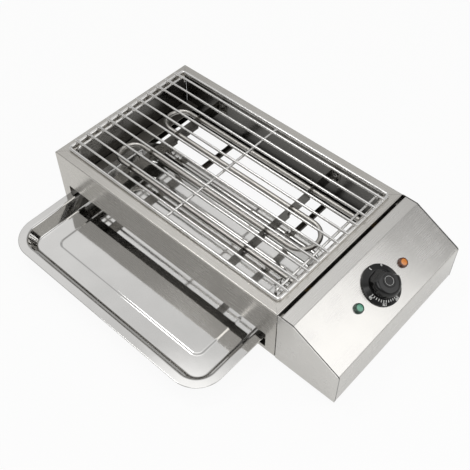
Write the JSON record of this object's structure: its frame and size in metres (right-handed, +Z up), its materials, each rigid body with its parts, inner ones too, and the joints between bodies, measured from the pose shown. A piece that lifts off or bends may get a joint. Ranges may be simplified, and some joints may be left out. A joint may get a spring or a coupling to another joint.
{
  "type": "electric grill",
  "caption": "Countertop electric grill: open stainless fire box with a wire grate, bent tubular element, pull-out drip tray and sloped control housing with a dial knob and indicator lamps.",
  "frame": {"origin": "on the counter, under the middle of the casing's footprint", "axes": "+X along the length towards the control housing, +Y to the back, +Z up"},
  "size_m": [0.543, 0.421, 0.1169],
  "materials": {
    "casing_steel": "satin brushed stainless sheet",
    "inner_steel": "plain stainless sheet",
    "element_sheath": "drawn stainless tube, heat toned",
    "grate_steel": "bright drawn stainless wire",
    "tray_steel": "bright pressed stainless sheet",
    "fastener_steel": "bright zinc plate",
    "brass_fittings": "turned brass",
    "knob_black": "moulded satin black phenolic",
    "cap_black": "polished black plastic",
    "green_lens": "translucent green polycarbonate",
    "orange_lens": "translucent orange polycarbonate",
    "thermostat_case": "moulded steatite-filled case",
    "white_ceramic": "unglazed white ceramic",
    "copper_tube": "drawn copper",
    "black_plastic": "moulded black polyamide",
    "foot_rubber": "moulded black rubber",
    "lead_silicone": "silicone sleeving"
  },
  "bodies": {
    "casing": {"front_panel": "casing_steel", "back_panel": "casing_steel", "left_panel": "casing_steel", "right_panel": "casing_steel", "left_tray_rail": "inner_steel", "right_tray_rail": "inner_steel", "left_cross_rail": "inner_steel", "right_cross_rail": "inner_steel", "left_element_bracket": "inner_steel", "right_element_bracket": "inner_steel", "element_clips": "inner_steel", "bracket_studs": "fastener_steel", "bracket_nuts": "fastener_steel", "heating_element": "element_sheath", "element_ferrules": "brass_fittings", "ferrule_nuts": "brass_fittings", "element_terminals": "fastener_steel", "terminal_insulators": "white_ceramic", "control_cover": "casing_steel", "front_end_panel": "casing_steel", "rear_end_panel": "casing_steel", "control_base_plate": "inner_steel", "heat_shield": "inner_steel", "thermostat_body": "thermostat_case", "thermostat_screws": "fastener_steel", "green_lamp_lens": "green_lens", "orange_lamp_lens": "orange_lens", "lamp_bodies": "black_plastic", "lamp_nuts": "black_plastic", "sensor_bulb": "copper_tube", "capillary_tube": "copper_tube", "bulb_clips": "inner_steel", "capillary_grommet": "foot_rubber", "terminal_block": "white_ceramic", "earth_stud": "brass_fittings", "earth_nuts": "brass_fittings", "cable_gland": "black_plastic", "gland_nut": "black_plastic", "lead_wires": "lead_silicone", "housing_rivets": "fastener_steel", "rubber_feet": "foot_rubber", "foot_rivets": "fastener_steel"},
    "grate": {"grate_frame": "grate_steel", "grate_wires": "grate_steel", "grate_crossbars": "grate_steel"},
    "tray": {"drip_tray": "tray_steel"},
    "knob": {"control_knob": "knob_black", "knob_cap": "cap_black", "thermostat_shaft": "fastener_steel"}
  },
  "joints": [
    {"name": "tray_slide", "type": "slide", "parent": "casing", "child": "tray", "axis": [0, 1, 0], "range_m": [-0.12, 0.105]},
    {"name": "grate_lift", "type": "slide", "parent": "casing", "child": "grate", "axis": [0, 0, 1], "range_m": [0, 0.1]},
    {"name": "knob_turn", "type": "hinge", "parent": "casing", "child": "knob", "pos_m": [0.2325, 0, 0.0875], "axis": [0.4472, 0, 0.8944], "range_deg": [-270, 0]}
  ]
}
